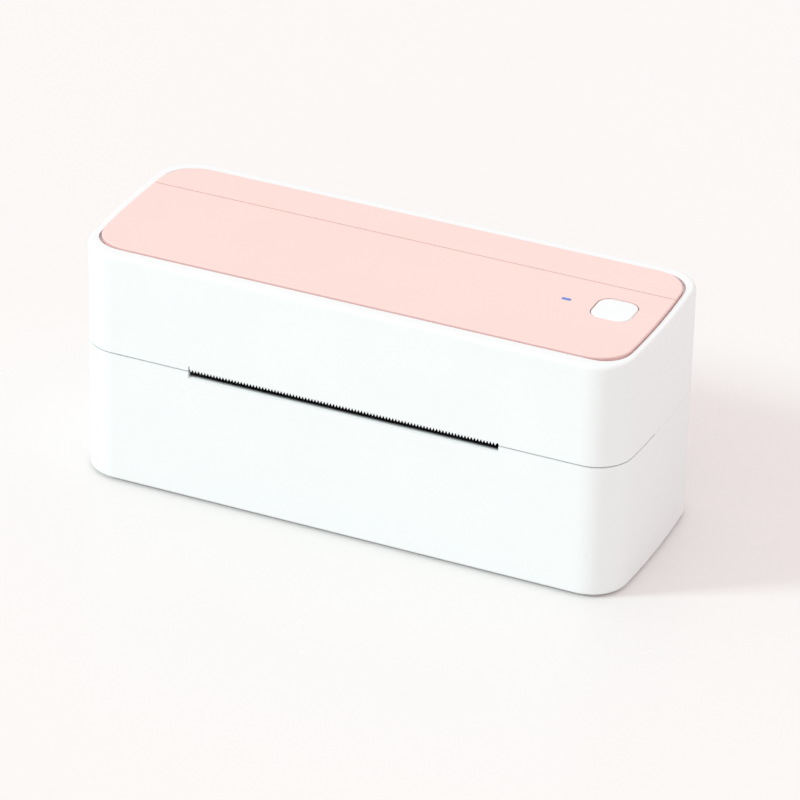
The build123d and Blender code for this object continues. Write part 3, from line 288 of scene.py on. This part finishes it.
def within(tree, value, low, high, fade=SLOT_EDGE):
    """Mask that is 1 between two limits and 0 outside them, and fades in at the first."""
    rise = tree.nodes.new("ShaderNodeMapRange")
    rise.inputs["From Min"].default_value = low
    rise.inputs["From Max"].default_value = low + fade
    fall = tree.nodes.new("ShaderNodeMapRange")
    fall.inputs["From Min"].default_value = high + SLOT_EDGE
    fall.inputs["From Max"].default_value = high - SLOT_EDGE
    tree.links.new(value, rise.inputs["Value"])
    tree.links.new(value, fall.inputs["Value"])
    return times(tree, rise.outputs["Result"], fall.outputs["Result"])


def times(tree, first, second):
    """Product of two masks."""
    node = tree.nodes.new("ShaderNodeMath")
    node.operation = "MULTIPLY"
    tree.links.new(first, node.inputs[0])
    tree.links.new(second, node.inputs[1])
    return node.outputs["Value"]


def place_of(tree):
    """Coordinates in object space, one output each."""
    coords = tree.nodes.new("ShaderNodeTexCoord")
    parts = tree.nodes.new("ShaderNodeSeparateXYZ")
    tree.links.new(coords.outputs["Object"], parts.inputs["Vector"])
    return parts


def tint(tree, mask, colour):
    """Lay a second colour over the shader's first one where a mask is 1."""
    shader = tree.nodes["Principled BSDF"]
    mix = tree.nodes.new("ShaderNodeMix")
    mix.data_type = "RGBA"
    first = shader.inputs["Base Color"].links[0].from_socket
    tree.links.new(mask, mix.inputs["Factor"])
    tree.links.new(first, mix.inputs["A"])
    mix.inputs["B"].default_value = (*colour, 1.0)
    tree.links.new(mix.outputs["Result"], shader.inputs["Base Color"])


def plate_material():
    """Pink plastic with painted shade below its top, on its edge, its side and in its groove."""
    mat = plastic("pink_plate", PINK_LOW, PINK_HIGH, PLATE_ROUGH)
    tree = mat.node_tree
    painted_shade = tree.nodes.new("ShaderNodeMapRange")
    painted_shade.inputs["From Min"].default_value = PLATE_TOP
    painted_shade.inputs["From Max"].default_value = PLATE_TOP - PLATE_SHADE_DEPTH
    tree.links.new(place_of(tree).outputs["Z"], painted_shade.inputs["Value"])
    # Painted shade: the pink is tinted darker on the plate's edge, side and groove below its top
    tint(tree, painted_shade.outputs["Result"], PINK_PAINTED_SHADE)
    return mat


def base_material():
    """White shell plastic with painted shade on the floor of the label slot, near black behind its crest where
    shade falls under the cover.
    """
    mat = plastic("base_white", WHITE_LOW, WHITE_HIGH, SHELL_ROUGH)
    tree = mat.node_tree
    parts = place_of(tree)
    across = within(tree, parts.outputs["X"], -SLOT_HALF, SLOT_HALF)
    along = within(tree, parts.outputs["Y"], SLOT_CREST_Y, SLOT_BACK_Y, SLOT_FADE)
    upward = within(tree, parts.outputs["Z"], SLOT_FLOOR_Z, SLOT_ROOF_Z)
    # Painted shade: the slot's floor is tinted near black behind its crest, where shade falls under the cover
    tint(tree, times(tree, times(tree, across, along), upward), SLOT_PAINTED_SHADE)
    return mat


def metal(name, low, high, rough, stretch):
    """Rolled or ground metal with fine lines along one axis."""
    mat, tree, shader = material(name)
    lines = noise(tree, METAL_LINES, DETAIL_LINES, stretch)
    coat(tree, shader, noise(tree, METAL_TONE), lines, low, high, rough)
    bump(tree, shader, lines, METAL_SHOWS, LINE_RELIEF)
    shader.inputs["Metallic"].default_value = 1.0
    return mat


def rubber(name, low, high, rough):
    """Matt rubber with a ground surface."""
    mat, tree, shader = material(name)
    coat(tree, shader, noise(tree, RUBBER_TONE), noise(tree, RUBBER_GLOSS), low, high, rough)
    bump(tree, shader, noise(tree, RUBBER_GRAIN, DETAIL_GLOSS), RUBBER_SHOWS, FINE_RELIEF)
    shader.inputs["Specular IOR Level"].default_value = RUBBER_SPECULAR
    return mat


def board_material():
    """Coated circuit board with faint copper lines under the coat."""
    mat, tree, shader = material("board_green")
    coords = tree.nodes.new("ShaderNodeTexCoord")
    lines = tree.nodes.new("ShaderNodeTexBrick")
    lines.inputs["Scale"].default_value = BOARD_LINES
    lines.inputs["Color1"].default_value = (*BOARD_DARK, 1.0)
    lines.inputs["Color2"].default_value = (*BOARD_LIGHT, 1.0)
    lines.inputs["Mortar"].default_value = (*BOARD_LINE, 1.0)
    lines.inputs["Mortar Size"].default_value = BOARD_LINE_WIDTH
    tree.links.new(coords.outputs["Object"], lines.inputs["Vector"])
    tree.links.new(lines.outputs["Color"], shader.inputs["Base Color"])
    tree.links.new(spread(tree, noise(tree, BOARD_GLOSS), BOARD_ROUGH), shader.inputs["Roughness"])
    bump(tree, shader, lines.outputs["Fac"], BOARD_SHOWS, BOARD_RELIEF)
    return mat


def lens_material():
    """Lit blue light guide, paler in the middle."""
    mat, tree, shader = material("blue_lens")
    coords = tree.nodes.new("ShaderNodeTexCoord")
    low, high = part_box("lamp_lens")
    middle = (Vector(low) + Vector(high)) / 2
    shift = tree.nodes.new("ShaderNodeMapping")
    shift.inputs["Location"].default_value = (-middle.x - PLATE_SHIFT[0], -middle.y - PLATE_SHIFT[1], 0.0)
    flat = tree.nodes.new("ShaderNodeMapping")
    flat.inputs["Scale"].default_value = LAMP_SPREAD
    ball = tree.nodes.new("ShaderNodeTexGradient")
    ball.gradient_type = "SPHERICAL"
    tree.links.new(coords.outputs["Object"], shift.inputs["Vector"])
    tree.links.new(shift.outputs["Vector"], flat.inputs["Vector"])
    tree.links.new(flat.outputs["Vector"], ball.inputs["Vector"])
    glow = tones(tree, ball.outputs["Fac"], LAMP_RIM, LAMP_MIDDLE, LAMP_RUN)
    tree.links.new(glow, shader.inputs["Base Color"])
    tree.links.new(glow, shader.inputs["Emission Color"])
    shader.inputs["Emission Strength"].default_value = LAMP_GLOW
    tree.links.new(spread(tree, noise(tree, LAMP_GLOSS), LAMP_ROUGH), shader.inputs["Roughness"])
    return mat


def build_materials():
    """One finished material for each of the record's slots."""
    made = {"pink_plate": plate_material(), "blue_lens": lens_material(), "board_green": board_material()}
    for maker, rows in ((plastic, PLASTICS), (rubber, RUBBERS), (metal, METALS)):
        made.update({name: maker(name, **values) for name, values in rows.items()})
    return made


def wear(node, mat):
    """Give a CAD node one material."""
    slots = NODES[node].data.materials
    slots.clear()
    slots.append(mat)


def dress_cad(materials):
    """Give every CAD node the finished material of its slot, and the base shell its own white with painted
    shade in its label slot.
    """
    for row in frame["record"]["subparts"]:
        wear(row["node"], materials[row["material_slot"]])
    wear("base_shell", base_material())


def drawn_in(value, axis):
    """Coordinate on the plate: moved by the shift in its middle, and inwards towards its edge."""
    side = math.copysign(1.0, value)
    kept = PLATE_KEPT[axis]
    edge = RECESS_HALF[axis]
    if abs(value) <= kept:
        return value + PLATE_SHIFT[axis]
    share = (abs(value) - kept) / (edge - kept)
    start = side * kept + PLATE_SHIFT[axis]
    end = side * (edge - RIM_WIDER[axis])
    return start + share * (end - start)


def spot(point):
    """Coordinates of a point, rounded so that doubled vertices share them."""
    return tuple(round(value, WALL_DIGITS) for value in point)


def recess_wall(mesh):
    """Spots of the wall round the cover's recess: upright faces above its floor that look inwards."""
    wall = set()
    for face in mesh.polygons:
        inwards = face.normal.x * face.center.x + face.normal.y * face.center.y < 0.0
        if inwards and abs(face.normal.z) < WALL_TILT and face.center.z > RECESS_FLOOR:
            wall.update(spot(mesh.vertices[index].co) for index in face.vertices)
    return wall


def stand_in(node, name, body):
    """Copy of a CAD node that rides on its body and stands for it."""
    piece = bpy.data.objects.new(name, NODES[node].data.copy())
    bpy.context.collection.objects.link(piece)
    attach(piece, body)
    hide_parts(node)
    return piece


def reshape_top():
    """Cover, plate, lamp and button with the photograph's wider rim and the places it shows."""
    for node, name, body in RESHAPED:
        mesh = stand_in(node, name, body).data
        wall = recess_wall(mesh)
        for vertex in mesh.vertices:
            if node != "top_cover" or spot(vertex.co) in wall:
                vertex.co.x = drawn_in(vertex.co.x, 0)
                vertex.co.y = drawn_in(vertex.co.y, 1)


def add_springs():
    """Head springs, copied from the CAD node with a mesh of their own, riding on the lid."""
    springs = stand_in("head_springs", "pressure_springs", "lid")
    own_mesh(springs)


def add_floor():
    """Pale floor with a faint soft reflection."""
    bpy.ops.mesh.primitive_plane_add(size=FLOOR_SIDE)
    floor = bpy.context.object
    floor.name = "floor"
    mat, tree, shader = material("floor")
    tone = noise(tree, FLOOR_TONE)
    gloss = noise(tree, FLOOR_GLOSS)
    coat(tree, shader, tone, gloss, FLOOR_LOW, FLOOR_HIGH, FLOOR_ROUGH)
    shader.inputs["Specular IOR Level"].default_value = FLOOR_SPECULAR
    floor.data.materials.append(mat)


def add_lights():
    """Even pale surround, and a low soft sun that throws the shadow to the right."""
    world = bpy.data.worlds.new("studio")
    bpy.context.scene.world = world
    world.use_nodes = True
    background = world.node_tree.nodes["Background"]
    background.inputs["Color"].default_value = (*WORLD_COLOUR, 1.0)
    background.inputs["Strength"].default_value = WORLD_STRENGTH
    lamp = bpy.data.lights.new("sun", "SUN")
    lamp.energy = SUN_STRENGTH
    lamp.color = SUN_COLOUR
    lamp.angle = math.radians(SUN_SIZE)
    sun = bpy.data.objects.new("sun", lamp)
    bpy.context.collection.objects.link(sun)
    sun.rotation_euler = Vector(SUN_FROM).to_track_quat("Z", "Y").to_euler()


def add_camera():
    """Camera at the photograph's place, worked out from its turn, rise and roll."""
    turn = math.radians(CAMERA_TURN)
    rise = math.radians(CAMERA_RISE)
    roll = math.radians(CAMERA_ROLL)
    back = Vector((math.sin(turn) * math.cos(rise), -math.cos(turn) * math.cos(rise), math.sin(rise)))
    right = (-back).cross(Vector((0.0, 0.0, 1.0))).normalized()
    up = right.cross(-back)
    rolled_right = math.cos(roll) * right + math.sin(roll) * up
    rolled_up = -math.sin(roll) * right + math.cos(roll) * up
    place = Vector(CAMERA_TARGET) + back * CAMERA_DISTANCE
    camera = bpy.data.cameras.new("camera")
    camera.sensor_width = SENSOR_MM
    camera.lens = CAMERA_FOCAL_PX / PHOTO_SIDE_PX * SENSOR_MM
    camera.clip_start = CAMERA_NEAR
    obj = bpy.data.objects.new("camera", camera)
    bpy.context.collection.objects.link(obj)
    turned = Matrix((rolled_right, rolled_up, back)).transposed().to_4x4()
    obj.matrix_world = Matrix.Translation(place) @ turned
    bpy.context.scene.camera = obj


def main():
    """Build the scene."""
    bpy.context.scene.view_settings.view_transform = "Standard"
    dress_cad(build_materials())
    reshape_top()
    add_springs()
    add_floor()
    add_lights()
    add_camera()


main()
